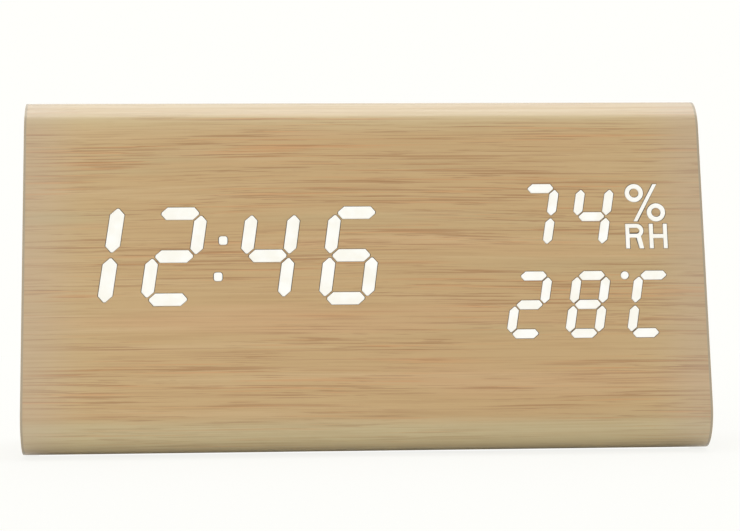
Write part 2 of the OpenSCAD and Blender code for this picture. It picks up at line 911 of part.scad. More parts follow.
module led_chips() {
    tiny = [small_led, small_led];
    color("Khaki") on_front() between(reflector_back - led_h, reflector_back) {
        figure_leds(time_figures, time_size);
        figure_leds(humidity_figures, small_size);
        figure_leds(temperature_figures, small_size);
        figure_leds(degree_figures, small_size);
        for (side = [-1, 1]) {
            led_at([one_u, one_v] + shear([0, side * one_rise], time_slant), turn_up(led_size, true));
            led_at(colon_spot(side), tiny);
        }
        led_at([degree_u, degree_v], tiny);
        led_at([units_u, percent_v], led_size);
        led_at([units_u, letter_v], led_size);
    }
}

module led_drivers() {
    color(plastic_black) on_front() between(led_back, led_back + driver_h) {
        for (side = [-1, 1]) translate([side * driver_u, display_v]) plate(driver_w, driver_d);
    }
}

module display_screws() {
    color(metal_grey) on_front() at_ears() translate([0, 0, -wall_t - flange_t]) rotate([180, 0, 0]) {
        pan_screw(flange_t + screw_bite - seat_fit);
    }
}

module display_ribbon() {
    stub = main_back - led_back;
    color("LightGray") {
        on_front() translate([0, ribbon_v, 0]) between(ribbon_depth - stub, ribbon_depth)
            plate(ribbon_w, ribbon_t);
        translate([0, 0, ribbon_z + ribbon_r * cos(lean)]) rotate([0, 90, 0]) rotate([0, 0, -lean])
            rotate_extrude(angle = 2 * lean) translate([ribbon_r, 0]) plate(ribbon_t, ribbon_w);
    }
}

module ribbon_sockets() {
    color(box_white) {
        on_front() translate([0, ribbon_v, 0]) between(led_back, led_back + socket_h)
            plate(socket_w, socket_t);
        on_back() translate([0, ribbon_v, 0]) between(main_back, main_back + socket_h)
            plate(socket_w, socket_t);
    }
}

// Control board and what it carries

module main_board() {
    color(pcb_green) on_back() between(main_face, main_back) difference() {
        translate([0, main_v]) plate(main_w, main_h);
        at_spacers() circle(screw_r + seat_fit);
    }
}

module board_spacers() {
    color(box_white) on_back() between(wall_t, main_face) at_spacers() difference() {
        circle(spacer_r);
        circle(screw_r + running_fit);
    }
}

module board_screws() {
    color(metal_grey) on_back() at_spacers() translate([0, 0, -main_back]) rotate([180, 0, 0]) {
        pan_screw(main_back - wall_t + screw_bite - seat_fit);
    }
}

module clock_chip() {
    color(plastic_black) on_back() between(main_back, main_back + chip_h) {
        translate([chip_u, chip_v]) plate(chip_w, chip_d);
    }
}

module timing_crystal() {
    color(metal_grey) on_back() translate([crystal_u, chip_v, -main_back - crystal_r]) {
        rotate([0, 90, 0]) cylinder(r = crystal_r, h = crystal_len, center = true);
    }
}

module board_capacitors() {
    color("DarkSlateGray") on_back() between(main_back, main_back + capacitor_h) {
        for (c = capacitors) translate(c) circle(capacitor_r);
    }
}

module buzzer() {
    color(plastic_black) on_back() translate([0, buzzer_v]) difference() {
        between(main_face - buzzer_h, main_face) circle(buzzer_r);
        between(main_face - buzzer_h - over, main_face - buzzer_h / 2) circle(buzzer_hole_r);
    }
}

module climate_sensor() {
    color("White") on_back() between(main_face - sensor_h, main_face) {
        translate([-vent_u, vent_v]) plate(sensor_w, sensor_w);
    }
}

module sound_sensor() {
    color(metal_grey) on_back() between(main_face - mic_h, main_face) translate([mic_u, mic_v])
        circle(mic_r);
}

// Mouth of the power socket, with its two lower corners cut
module usb_outline(grow) {
    w = usb_w / 2 + grow;
    h = usb_h / 2 + grow;
    c = usb_corner;
    polygon([[-w, h], [w, h], [w, c - h], [w - c, -h], [c - w, -h], [-w, c - h]]);
}

module usb_socket() {
    color(metal_grey) on_back() translate([usb_u, usb_v]) difference() {
        between(usb_mouth, main_face) usb_outline(0);
        between(usb_mouth - over, main_face - usb_wall) usb_outline(-usb_wall);
    }
}

module usb_tongue() {
    color(plastic_black) on_back() translate([usb_u, usb_v]) {
        between(usb_mouth + usb_wall, main_face - usb_wall) plate(tongue_w, tongue_t);
    }
}

module usb_bezel() {
    color(plastic_black) on_back() translate([usb_u, usb_v]) difference() {
        union() {
            between(0, wall_t) recess_plate(bezel_wall);
            between(-bezel_lip_t, 0) recess_plate(bezel_wall + bezel_lip);
        }
        between(-bezel_lip_t - over, wall_t + over) recess_plate(0);
    }
}

module vent_grilles() {
    step = vent_w / vent_slots;
    color(plastic_black) on_back() for (v = vents) translate(v) difference() {
        union() {
            between(0, vent_deep) plate(vent_w, vent_h);
            between(-vent_lip_t, 0) plate(vent_w + 2 * vent_lip, vent_h + 2 * vent_lip);
        }
        between(-vent_lip_t - over, vent_deep + over) for (i = [0:vent_slots - 1]) {
            translate([(i + 0.5) * step - vent_w / 2, 0]) plate(slot_w, vent_h - 2 * slot_w);
        }
    }
}

module switch_bodies() {
    well = plunger_in + button_travel + seat_fit;
    color("DimGray") on_back() at_buttons() difference() {
        between(switch_top, main_face) plate(switch_w, switch_w);
        between(switch_top - over, switch_top + well) circle(plunger_r + running_fit);
    }
}

module button_collars() {
    bore = button_r + running_fit;
    color(metal_grey) on_back() at_buttons() difference() {
        union() {
            between(0, wall_t) circle(bore + collar_wall);
            between(-collar_lip_t, 0) circle(bore + collar_wall + collar_lip);
        }
        between(-collar_lip_t - over, wall_t + over) circle(bore);
    }
}

// Push button at place i of the row, with a mark sunk into its cap
module push_button(i) {
    color(plastic_black) on_back() translate([buttons_u[i], button_v]) {
        difference() {
            union() {
                between(-button_proud + cap_round, button_flange_top + button_flange_t) circle(button_r);
                translate([0, 0, button_proud - cap_round])
                    cylinder(r1 = button_r, r2 = button_r - cap_round, h = cap_round);
                between(button_flange_top, button_flange_top + button_flange_t) circle(button_flange_r);
                between(button_flange_top, plunger_top) circle(stem_r);
            }
            between(-button_proud - over, cap_mark_deep - button_proud) children();
        }
    }
}

module set_mark() {
    difference() {
        circle(cap_mark_r);
        circle(cap_mark_r - cap_mark_t);
    }
}

module arrow_mark(side) {
    half = cap_mark_r * cos(30);
    foot = -side * cap_mark_r / 2;
    polygon([[-half, foot], [half, foot], [0, side * cap_mark_r]]);
}

module switch_plunger(i) {
    color("Gainsboro") on_back() translate([buttons_u[i], button_v]) {
        between(plunger_top, switch_top + plunger_in) circle(plunger_r);
    }
}

// Battery tray, door and cells

module box(x0, x1, half_w, z0, z1) {
    translate([x0, -half_w, z0]) cube([x1 - x0, 2 * half_w, z1 - z0]);
}

module battery_tray() {
    color(plastic_black) difference() {
        union() {
            box(-tray_half_l, tray_half_l, tray_half_w, foot_h, tray_top);
            box(-rim_half_l, rim_half_l, rim_half_w, foot_h, rim_top);
        }
        difference() {
            box(-bay_half_l, bay_half_l, bay_half_w, foot_h - over, bay_top);
            box(-partition_t / 2, partition_t / 2, bay_half_w + over, rim_top + door_fit, bay_top + over);
        }
        for (side = [-1, 1]) {
            translate([hinge_x, side * (bay_half_w - over), hinge_z]) rotate([-side * 90, 0, 0])
                cylinder(r = pin_r + running_fit, h = pin_len - door_fit + seat_fit + over);
            translate([bay_half_l - plate_t - seat_fit, side * row_y - tab_w / 2 - seat_fit, bay_top - over])
                cube([plate_t + seat_fit, tab_w + 2 * seat_fit, tray_wall + 2 * over]);
        }
        at_tray_screws() translate([0, 0, foot_h - over]) {
            cylinder(r = screw_r + seat_fit, h = door_t + 2 * over);
            cylinder(r = screw_head_r + seat_fit, h = screw_head_h + over);
        }
        thumb_notch();
    }
}

// Scoop at the door's free end, half in the door and half in the rim
module thumb_notch() {
    translate([bay_half_l, 0, foot_h + notch_deep - notch_r]) rotate([0, 90, 0]) {
        cylinder(r = notch_r, h = notch_len, center = true);
    }
}

module battery_door() {
    half_w = bay_half_w - door_fit;
    end_x = bay_half_l - door_fit;
    mid_z = rim_top - door_t / 2;
    color(plastic_black) {
        difference() {
            union() {
                box(hinge_x, end_x, half_w, foot_h, rim_top);
                box(end_x - latch_t - seat_fit, end_x - seat_fit, latch_w / 2, mid_z, rim_top + latch_h);
                for (i = [-2, -1, 1, 2]) {
                    x = i * rib_pitch;
                    box(x - rib_w / 2, x + rib_w / 2, half_w - over, mid_z, rim_top + rib_h);
                }
            }
            thumb_notch();
        }
        for (side = [-1, 1]) {
            translate([hinge_x, side * (half_w - knuckle_len), hinge_z]) rotate([-side * 90, 0, 0]) {
                cylinder(r = barrel_r, h = knuckle_len);
                cylinder(r = pin_r, h = knuckle_len + pin_len);
            }
        }
    }
}

module tray_screws() {
    color(metal_grey) at_tray_screws() translate([0, 0, foot_h + screw_head_h]) rotate([180, 0, 0]) {
        pan_screw(tray_screw_len);
    }
}

// Frame of a cell: X runs from its negative end to its nub
module in_bay(c) {
    nub_end = c[0] * (c[0] == c[2] ? bay_half_l : partition_t / 2);
    translate([nub_end - c[2] * (plate_t + cell_len), c[1] * row_y, cell_z])
        mirror([c[2] > 0 ? 0 : 1, 0, 0]) children();
}

module rod(x0, x1, r) {
    translate([x0, 0, 0]) rotate([0, 90, 0]) cylinder(r = r, h = x1 - x0);
}

module cell_cans() {
    color(metal_grey) for (c = cells) in_bay(c) {
        rod(0, cell_len - nub_h, cell_r - sleeve_t);
        rod(cell_len - 2 * nub_h, cell_len, nub_r);
    }
}

module cell_sleeves() {
    color("DarkOrange") for (c = cells) in_bay(c) difference() {
        rod(sleeve_bare, cell_len - nub_h - sleeve_bare, cell_r);
        rod(0, cell_len, cell_r - sleeve_t + sleeve_fit);
    }
}

module contact(x, row, w) {
    translate([x, row - w / 2, cell_z - plate_w / 2]) cube([plate_t, w, plate_w]);
}

module contact_plates() {
    last = bay_half_l - plate_t;
    color("LightSteelBlue") {
        contact(-bay_half_l, 0, 2 * row_y + plate_w);
        for (side = [-1, 1]) {
            row = side * row_y;
            contact(last, row, plate_w);
            translate([last, row - tab_w / 2, cell_z]) cube([plate_t, tab_w, tray_top + tab_up - cell_z]);
            contact(partition_t / 2, row, plate_w);
            contact(-partition_t / 2 - plate_t, row, plate_w);
        }
    }
}

// Point t turns along a contact spring, from the cell to its plate
spring_rise = spring_len - spring_wire - 2 * seat_fit;
function spring_point(t) =
    let (r = spring_tip_r + (spring_base_r - spring_tip_r) * t / spring_turns)
    [-spring_wire / 2 - seat_fit - spring_rise * t / spring_turns, r * cos(360 * t), r * sin(360 * t)];
spring_path = [for (i = [0:spring_rings * spring_turns]) spring_point(i / spring_rings)];
spring_near = min([
    for (i = [0:len(spring_path) - 1], j = [0:len(spring_path) - 1])
        if (j - i > spring_rings / 2) norm(spring_path[j] - spring_path[i])
]);
echo(least_gap_in_a_contact_spring = spring_near - spring_wire);

// Tube of the given thickness along a path, as one closed skin
function unit(v) = v / norm(v);
function path_way(path, i) =
    unit(path[min(i + 1, len(path) - 1)] - path[max(i - 1, 0)]);
function ring_points(at, way, side, d, n) =
    let (a = unit(cross(way, side)), b = cross(a, way))
    [for (k = [0:n - 1]) at + d / 2 * (cos(360 * k / n) * a + sin(360 * k / n) * b)];
module swept_tube(path, d, n, side) {
    last = len(path) - 1;
    points = [for (i = [0:last]) each ring_points(path[i], path_way(path, i), side, d, n)];
    skin = [
        for (i = [0:last - 1], k = [0:n - 1])
            let (a = i * n + k, b = i * n + (k + 1) % n)
            each [[a, a + n, b + n], [a, b + n, b]]
    ];
    caps = [
        for (k = [1:n - 2]) each [[0, k, k + 1], [last * n, last * n + k + 1, last * n + k]]
    ];
    polyhedron(points, concat(skin, caps));
}

module contact_springs() {
    color("LightSteelBlue") for (c = cells) in_bay(c) {
        swept_tube(spring_path, spring_wire, spring_sides, [1, 0, 0]);
    }
}

module positive_lead() {
    color("Red") swept_tube(positive_route, lead_d, lead_sides, [0, 0, 1]);
}

module negative_lead() {
    color("Black") swept_tube(negative_route, lead_d, lead_sides, [0, 0, 1]);
}

wood_wrap();
front_panel();
back_panel();
base_panel();
end_panel(-1);  // left_end_panel
end_panel(1);  // right_end_panel
end_veneer(-1);  // left_end_veneer
end_veneer(1);  // right_end_veneer
rubber_feet();
lit(wrap_t) time_marks(0, true);  // lit_time_digits
lit(wrap_t) humidity_marks(0, true);  // lit_humidity_digits
lit(wrap_t) temperature_marks(0, true);  // lit_temperature_digits
lit(wrap_t) unit_marks(0, true);  // lit_unit_marks
light_mask();
display_reflector();
guides() time_marks(0, false);  // time_light_guides
guides() humidity_marks(0, false);  // humidity_light_guides
guides() temperature_marks(0, false);  // temperature_light_guides
unit_light_guides();
led_board();
led_chips();
led_drivers();
display_screws();
display_ribbon();
ribbon_sockets();
main_board();
board_spacers();
board_screws();
clock_chip();
timing_crystal();
board_capacitors();
buzzer();
climate_sensor();
sound_sensor();
usb_socket();
usb_tongue();
usb_bezel();
vent_grilles();
switch_bodies();
button_collars();
push_button(0) set_mark();  // set_button
push_button(1) arrow_mark(-1);  // down_button
push_button(2) arrow_mark(1);  // up_button
switch_plunger(0);  // set_plunger
switch_plunger(1);  // down_plunger
switch_plunger(2);  // up_plunger
battery_tray();
battery_door();
tray_screws();
cell_cans();
cell_sleeves();
contact_plates();
contact_springs();
positive_lead();
negative_lead();
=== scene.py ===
import json
import math

import bmesh
import bpy
import numpy as np
from mathutils import Color, Matrix, Vector


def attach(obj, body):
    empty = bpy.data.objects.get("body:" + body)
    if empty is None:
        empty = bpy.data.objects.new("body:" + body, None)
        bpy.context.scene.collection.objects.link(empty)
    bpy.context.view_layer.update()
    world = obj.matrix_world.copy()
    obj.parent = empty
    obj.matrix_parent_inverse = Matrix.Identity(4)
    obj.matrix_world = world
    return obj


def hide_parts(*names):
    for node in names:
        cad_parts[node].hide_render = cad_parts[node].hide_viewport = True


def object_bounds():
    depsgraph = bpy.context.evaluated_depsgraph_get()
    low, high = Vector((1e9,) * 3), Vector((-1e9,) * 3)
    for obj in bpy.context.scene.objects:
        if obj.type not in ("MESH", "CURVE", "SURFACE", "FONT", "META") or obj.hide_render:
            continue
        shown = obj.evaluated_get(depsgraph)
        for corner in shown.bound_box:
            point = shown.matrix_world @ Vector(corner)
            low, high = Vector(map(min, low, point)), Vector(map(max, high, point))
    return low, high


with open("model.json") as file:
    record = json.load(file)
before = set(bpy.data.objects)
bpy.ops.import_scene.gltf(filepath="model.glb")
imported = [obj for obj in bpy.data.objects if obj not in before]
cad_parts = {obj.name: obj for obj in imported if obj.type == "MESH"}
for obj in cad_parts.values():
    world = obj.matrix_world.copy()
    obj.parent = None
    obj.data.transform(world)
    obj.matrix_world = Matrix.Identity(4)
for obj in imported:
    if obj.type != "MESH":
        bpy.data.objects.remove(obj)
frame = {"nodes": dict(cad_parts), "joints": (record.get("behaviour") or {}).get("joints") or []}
cadBox = [list(corner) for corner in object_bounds()]
nodes = frame["nodes"]
mm = 0.001
noiseMiddle = 0.5       # noise swings about this
print("frame:", len(nodes), "nodes")


# Shader maths: a Wire is one output socket, and an expression on wires adds Math nodes

class Wire:
    def __init__(self, finish, socket):
        self.finish = finish
        self.socket = socket

    def __add__(self, other):
        return self.finish.maths("ADD", self, other)

    def __sub__(self, other):
        return self.finish.maths("SUBTRACT", self, other)

    def __rsub__(self, other):
        return self.finish.maths("SUBTRACT", other, self)

    def __mul__(self, other):
        return self.finish.maths("MULTIPLY", self, other)

    def __truediv__(self, other):
        return self.finish.maths("DIVIDE", self, other)

    def __rtruediv__(self, other):
        return self.finish.maths("DIVIDE", other, self)

    __radd__ = __add__
    __rmul__ = __mul__


# the nodes of one material, or of the world
class Finish:
    def __init__(self, owner):
        owner.use_nodes = True
        self.owner = owner
        self.tree = owner.node_tree
        self.tree.nodes.clear()

    # any node: its type, its settings, then the values or links of its sockets
    def node(self, kind, settings=None, sockets=None, out=0):
        made = self.tree.nodes.new(kind)
        for key, value in (settings or {}).items():
            setattr(made, key, value)
        for key, value in (sockets or {}).items():
            if isinstance(value, Wire):
                self.tree.links.new(value.socket, made.inputs[key])
            else:
                made.inputs[key].default_value = value
        return Wire(self, made.outputs[out]) if len(made.outputs) else made

    # named outputs of the node that a wire comes from
    def outputs(self, wire, *names):
        return [Wire(self, wire.socket.node.outputs[name]) for name in names]

    def maths(self, operation, a, b=0.0):
        return self.node("ShaderNodeMath", {"operation": operation}, {0: a, 1: b})

    # colour a where the share is 0, colour b where it is 1; 6, 7 and 2 are the colour sockets
    def mix(self, a, b, share):
        return self.node("ShaderNodeMix", {"data_type": "RGBA"}, {0: share, 6: a, 7: b}, out=2)

    # 0 up to the start and 1 from full on, smooth between, or the other way if full is the lower
    def step(self, value, start, full):
        settings = {"interpolation_type": "SMOOTHSTEP"}
        sockets = {"Value": value, "From Min": start, "From Max": full}
        return self.node("ShaderNodeMapRange", settings, sockets)

    def place(self):
        return self.node("ShaderNodeTexCoord", out="Object")

    def split(self, at):
        return self.outputs(self.node("ShaderNodeSeparateXYZ", {}, {"Vector": at}), "X", "Y", "Z")

    # noise whose features are this many millimetres long on x, y and z
    def noise(self, at, lengths, detail=2.0, rough=0.5, shift=(0, 0, 0)):
        scale = [1 / (length * mm) for length in lengths]
        mapping = {"Vector": at, "Location": shift, "Scale": scale}
        placed = self.node("ShaderNodeMapping", {}, mapping)
        sockets = {"Vector": placed, "Scale": 1.0, "Detail": detail, "Roughness": rough}
        return self.node("ShaderNodeTexNoise", {"noise_dimensions": "3D"}, sockets)

    # relief of this depth in millimetres
    def bump(self, height, depth):
        sockets = {"Height": height, "Distance": depth * mm, "Strength": 1.0}
        return self.node("ShaderNodeBump", {}, sockets)

    def surface(self, sockets):
        shader = self.node("ShaderNodeBsdfPrincipled", {}, sockets)
        self.node("ShaderNodeOutputMaterial", {}, {"Surface": shader})
        return self.owner


def newFinish(name):
    return Finish(bpy.data.materials.new(name))


# sRGB bytes to the linear colour that a socket takes
def tint(*channels):
    shares = [channel / 255 for channel in channels]
    return (*Color(shares).from_srgb_to_scene_linear(), 1.0)


# Wood film and end veneer: a pale ground under layers of grain, each a noise drawn out one way

woodLook = {
    "ground": tint(194, 162, 114),
    # length and thickness in mm, noise from and to, colour, share
    "layers": {
        "greenZone": (150, 11, 0.52, 0.70, tint(185, 165, 121), 0.8),
        "warmZone": (110, 7, 0.50, 0.72, tint(200, 162, 117), 0.7),
        "paleBand": (90, 2.4, 0.50, 0.72, tint(206, 179, 135), 0.45),
        "fibre": (34, 0.5, 0.44, 0.68, tint(172, 135, 86), 0.3),
        "emberLine": (46, 0.5, 0.56, 0.65, tint(202, 146, 92), 0.5),
        "longStreak": (44, 0.42, 0.57, 0.61, tint(152, 102, 56), 0.5),
        "shortStreak": (17, 0.36, 0.58, 0.635, tint(154, 108, 62), 0.46),
        "pore": (3.4, 0.17, 0.62, 0.74, tint(160, 126, 84), 0.25),
    },
    # streaks gather where this noise is high: length and thickness in mm, from and to
    "group": (60, 7, 0.33, 0.57),
    "grouped": ("emberLine", "longStreak", "shortStreak"),
    "drift": (110, 40, 2.4),        # a swing of the grain: length, thickness and reach in mm
    "detail": {"drift": 1.0, "group": 2.0, "layer": 3.0},
    "noiseRough": 0.55,
    "apart": (1, 2, 3),             # from one noise to the next
    "relief": {"fibre": 0.5, "longStreak": -0.4, "pore": -0.2},
    "reliefDepth": 0.012,
    "rough": (0.36, 0.12),          # everywhere, and more along fibres
    "coat": 0.5,
    "coatRough": 0.08,
    # painted light: the colour pales towards the ends, the top and the lower edge as if lit there:
    # from and to in mm, share
    "paintedLight": {"end": (45, 75, 0.25), "top": (69, 75, 0.6), "low": (9.6, 6.2, 0.75)},
    # the pale colour of that painted light
    "paintedLightTone": tint(201, 186, 144),
    "paintedLightAfter": "warmZone",        # the layers after this one lie over the painted light
    # painted light on the two roundings: a painted highlight along the top one and paler painted
    # light along the lower one, each all but plain: from and to in mm, colour, share
    "paintedLightBands": (
        (73.6, 75.4, tint(204, 182, 147), 0.6),
        (9.2, 5.6, tint(199, 184, 143), 0.42),
    ),
}
woodKinds = {
    # the grain's axis, then the look of the two ends: from and to in mm, colour, share
    "wood_film": (0, (60, 75, tint(187, 167, 151), 0.32)),      # greys a little
    "end_wood": (1, (75.0, 74.9, tint(168, 154, 131), 1.0)),    # shows the veneer's cut edge
}


def woodFinish(name):
    look = woodLook
    along, endBand = woodKinds[name]
    finish = newFinish(name)

    def grain(at, length, thick, kind, shift):
        lengths = [thick] * 3
        lengths[along] = length
        shifts = [shift * way for way in look["apart"]]
        return finish.noise(at, lengths, look["detail"][kind], look["noiseRough"], shifts)

    def band(colour, value, start, full, tone, share):
        return finish.mix(colour, tone, finish.step(value, start, full) * share)

    place = finish.place()
    x, _, z = finish.split(place)
    length, thick, swing = look["drift"]
    wander = (grain(place, length, thick, "drift", 0) - noiseMiddle) * (swing * mm)
    sideways = {axis: wander for axis in range(3) if axis != along}
    offset = finish.node("ShaderNodeCombineXYZ", {}, sideways)
    at = finish.node("ShaderNodeVectorMath", {"operation": "ADD"}, {0: place, 1: offset})
    side = finish.maths("ABSOLUTE", x) / mm
    level = (z + wander) / mm
    # painted light: paler towards the ends, the top and the lower edge
    paintedLight = 0
    for key, value in {"end": side, "top": level, "low": level}.items():
        start, full, share = look["paintedLight"][key]
        paintedLight = finish.maths("MAXIMUM", finish.step(value, start, full) * share, paintedLight)
    length, thick, start, full = look["group"]
    group = finish.step(grain(at, length, thick, "group", len(look["layers"]) + 1), start, full)
    colour = look["ground"]
    masks = {}
    for shift, (layer, values) in enumerate(look["layers"].items(), start=1):
        length, thick, start, full, tone, share = values
        masks[layer] = finish.step(grain(at, length, thick, "layer", shift), start, full)
        if layer in look["grouped"]:
            masks[layer] *= group
        colour = finish.mix(colour, tone, masks[layer] * share)
        # lay the painted light here, under the later layers
        if layer == look["paintedLightAfter"]:
            colour = finish.mix(colour, look["paintedLightTone"], paintedLight)
    # painted highlight on the top rounding and painted light on the lower one
    for paintedLightBand in look["paintedLightBands"]:
        colour = band(colour, level, *paintedLightBand)
    plainRough, fibreRough = look["rough"]
    height = sum(masks[layer] * rise for layer, rise in look["relief"].items())
    return finish.surface({
        "Base Color": band(colour, side, *endBand),
        "Roughness": masks["fibre"] * fibreRough + plainRough,
        "Coat Weight": look["coat"],
        "Coat Roughness": look["coatRough"],
        "Normal": finish.bump(height, look["reliefDepth"]),
    })


# Fibreboard: short pale brown fibres pressed together, with darker clouds

boardLook = {
    "chip": {"lengths": (0.9, 0.35, 0.35), "detail": 4.0, "rough": 0.65},
    "chipStep": (0.35, 0.65),
    "chipTones": (tint(150, 112, 74), tint(186, 150, 108)),
    "cloud": (9, 7, 7),             # mm
    "cloudStep": (0.5, 0.8),
    "cloudTone": tint(136, 101, 66),
    "cloudShare": 0.5,
    "rough": (0.75, 0.15),          # everywhere, and more on high chips
    "relief": 0.06,
}


def boardFinish():
    look = boardLook
    finish = newFinish("pressed_board")
    at = finish.place()
    chip = finish.noise(at, **look["chip"])
    cloud = finish.step(finish.noise(at, look["cloud"]), *look["cloudStep"])
    colour = finish.mix(*look["chipTones"], finish.step(chip, *look["chipStep"]))
    plainRough, chipRough = look["rough"]
    return finish.surface({
        "Base Color": finish.mix(colour, look["cloudTone"], cloud * look["cloudShare"]),
        "Roughness": chip * chipRough + plainRough,
        "Normal": finish.bump(chip, look["relief"]),
    })


# Lit film: white light with a faint cloud from the diffuser behind it

litLook = {
    "glow": (tint(255, 255, 250), tint(255, 253, 242)),
    "film": (tint(150, 149, 144), tint(140, 138, 132)),
    "rough": 0.6,
    "cloud": (3.5, 3.5, 3.5),       # mm
    "cloudStep": (0.3, 0.7),
    "strength": 0.69,
}


def litFinish():
    look = litLook
    finish = newFinish("lit_film")
    cloud = finish.step(finish.noise(finish.place(), look["cloud"]), *look["cloudStep"])
    return finish.surface({
        "Base Color": finish.mix(*look["film"], cloud),
        "Roughness": look["rough"],
        "Emission Color": finish.mix(*look["glow"], cloud),
        "Emission Strength": look["strength"],
    })


# Moulded plastic and rubber: a fine spark-eroded grain over one colour and its darker flow marks

mouldedLook = {
    "grain": 0.22,                  # mm, as the relief is
    "relief": 0.012,
    "grainStep": (0.4, 0.75),
    "grainShare": 0.35,
    "flow": {"lengths": (14, 10, 10), "detail": 3.0},
    "flowStep": (0.35, 0.7),
    "rough": (-0.1, 0.18, 0.06),    # added everywhere, with the grain and with the flow marks
}


def mouldedFinish(name, light, dark, rough, **special):
    look = {**mouldedLook, **special}
    finish = newFinish(name)
    at = finish.place()
    grain = finish.noise(at, [look["grain"]] * 3)
    flow = finish.step(finish.noise(at, **look["flow"]), *look["flowStep"])
    speck = finish.step(grain, *look["grainStep"]) * look["grainShare"]
    plainRough, grainRough, flowRough = look["rough"]
    return finish.surface({
        "Base Color": finish.mix(finish.mix(light, dark, flow), dark, speck),
        "Roughness": grain * grainRough + flow * flowRough + (rough + plainRough),
        "Normal": finish.bump(grain, look["relief"]),
    })


# Plated metal: fine brushing along one way, with a soft stain

metalLook = {
    "brush": {"detail": 3.0, "rough": 0.6},
    "relief": 0.004,
    "stain": {"lengths": (4, 4, 4), "detail": 3.0},
    "stainStep": (0.4, 0.75),
    "rough": (-0.1, 0.16, 0.08),    # added everywhere, with the brushing and with the stain
}


def metalFinish(name, bright, dull, rough, lengths):
    look = metalLook
    finish = newFinish(name)
    at = finish.place()
    brush = finish.noise(at, lengths, **look["brush"])
    stain = finish.step(finish.noise(at, **look["stain"]), *look["stainStep"])
    plainRough, brushRough, stainRough = look["rough"]
    return finish.surface({
        "Base Color": finish.mix(bright, dull, stain),
        "Metallic": 1.0,
        "Roughness": brush * brushRough + stain * stainRough + (rough + plainRough),
        "Normal": finish.bump(brush, look["relief"]),
    })


# Circuit board: green lacquer over copper traces that run in a coarse grid

circuitLook = {
    "run": {"lengths": (11, 0.9, 0.9), "detail": 0.0},
    "runStep": (0.54, 0.56),
    "rise": {"lengths": (0.9, 7, 7), "detail": 0.0, "shift": (4, 0, 0)},
    "riseStep": (0.58, 0.6),
    "relief": 0.03,
    "tones": (tint(18, 70, 40), tint(40, 112, 62)),     # lacquer, and lacquer over a trace
    "weave": (0.5, 0.5, 0.5),       # mm
    "weaveStep": (0.5, 0.8),
    "weaveTone": tint(12, 52, 30),
    "weaveShare": 0.4,
    "rough": (0.28, 0.1),           # everywhere, and more with the weave
}


def circuitFinish():
    look = circuitLook
    finish = newFinish("circuit_board")
    at = finish.place()
    run = finish.step(finish.noise(at, **look["run"]), *look["runStep"])
    rise = finish.step(finish.noise(at, **look["rise"]), *look["riseStep"])
    trace = finish.maths("MAXIMUM", run, rise)
    weave = finish.noise(at, look["weave"])
    thread = finish.step(weave, *look["weaveStep"]) * look["weaveShare"]
    plainRough, weaveRough = look["rough"]
    return finish.surface({
        "Base Color": finish.mix(finish.mix(*look["tones"], trace), look["weaveTone"], thread),
        "Roughness": weave * weaveRough + plainRough,
        "Normal": finish.bump(trace, look["relief"]),
    })


# Cell sleeve: green printed film with a silver shoulder at the nub's end and a pale ring beside it

cellPrint = {
    "pitch": 50.9,                  # from cell to cell along a row, in mm, as the next four are
    "shift": 1.0,
    "shoulder": 13.0,
    "ring": 0.7,
    "soft": 0.1,
    "tones": (tint(86, 132, 92), tint(186, 188, 186)),
    "ringTone": tint(214, 210, 200),
    "scuff": {"lengths": (6, 0.5, 0.5), "detail": 3.0},
    "scuffStep": (0.6, 0.8),
    "scuffTone": tint(112, 122, 108),
    "scuffShare": 0.3,
    "metallic": 0.6,
    "rough": (0.25, 0.15),          # everywhere, and more with the scuffs
}


def sleeveFinish():
    look = cellPrint
    finish = newFinish("cell_print")
    at = finish.place()
    x, y, _ = finish.split(at)
    run = x * finish.maths("SIGN", y) / mm + look["shift"]      # the two rows lie opposite ways
    wrapped = {0: run, 1: look["pitch"], 2: 0.0}
    along = finish.node("ShaderNodeMath", {"operation": "WRAP"}, wrapped)

    def past(edge):
        return finish.step(along, edge, edge + look["soft"])

    edge = look["pitch"] - look["shoulder"]
    shoulder = past(edge)
    ring = past(edge - 2 * look["ring"]) - past(edge - look["ring"])
    scuff = finish.noise(at, **look["scuff"])
    colour = finish.mix(finish.mix(*look["tones"], shoulder), look["ringTone"], ring)
    worn = finish.step(scuff, *look["scuffStep"]) * look["scuffShare"]
    plainRough, scuffRough = look["rough"]
    return finish.surface({
        "Base Color": finish.mix(colour, look["scuffTone"], worn),
        "Metallic": shoulder * look["metallic"],
        "Roughness": scuff * scuffRough + plainRough,
    })


frontWood = woodFinish("wood_film")
endWood = woodFinish("end_wood")
blackPlastic = mouldedFinish("black_plastic", tint(38, 37, 37), tint(27, 26, 27), rough=0.46)
maskBlack = mouldedFinish("mask_black", tint(24, 21, 19), tint(15, 13, 12), rough=0.8)
markWhite = mouldedFinish("mark_white", tint(224, 223, 219), tint(208, 207, 202), rough=0.5,
                          grain=0.1, relief=0.006)
whitePlastic = mouldedFinish("white_plastic", tint(228, 227, 222), tint(214, 212, 205), rough=0.48)
greyPlastic = mouldedFinish("grey_plastic", tint(84, 85, 88), tint(70, 71, 74), rough=0.5)
clearPlastic = mouldedFinish("light_guide", tint(240, 241, 238), tint(228, 229, 224), rough=0.3)
footRubber = mouldedFinish("foot_rubber", tint(33, 32, 32), tint(24, 23, 24), rough=0.78,
                           grain=0.4, relief=0.03)
chipBlack = mouldedFinish("chip_black", tint(34, 34, 36), tint(25, 25, 27), rough=0.6, grain=0.15)
capSleeve = mouldedFinish("capacitor_sleeve", tint(36, 50, 78), tint(26, 36, 58), rough=0.35)
phosphor = mouldedFinish("phosphor", tint(240, 222, 140), tint(226, 204, 112), rough=0.4)
redWire = mouldedFinish("red_wire", tint(178, 32, 28), tint(148, 24, 22), rough=0.42)
blackWire = mouldedFinish("black_wire", tint(34, 34, 35), tint(24, 24, 25), rough=0.42)
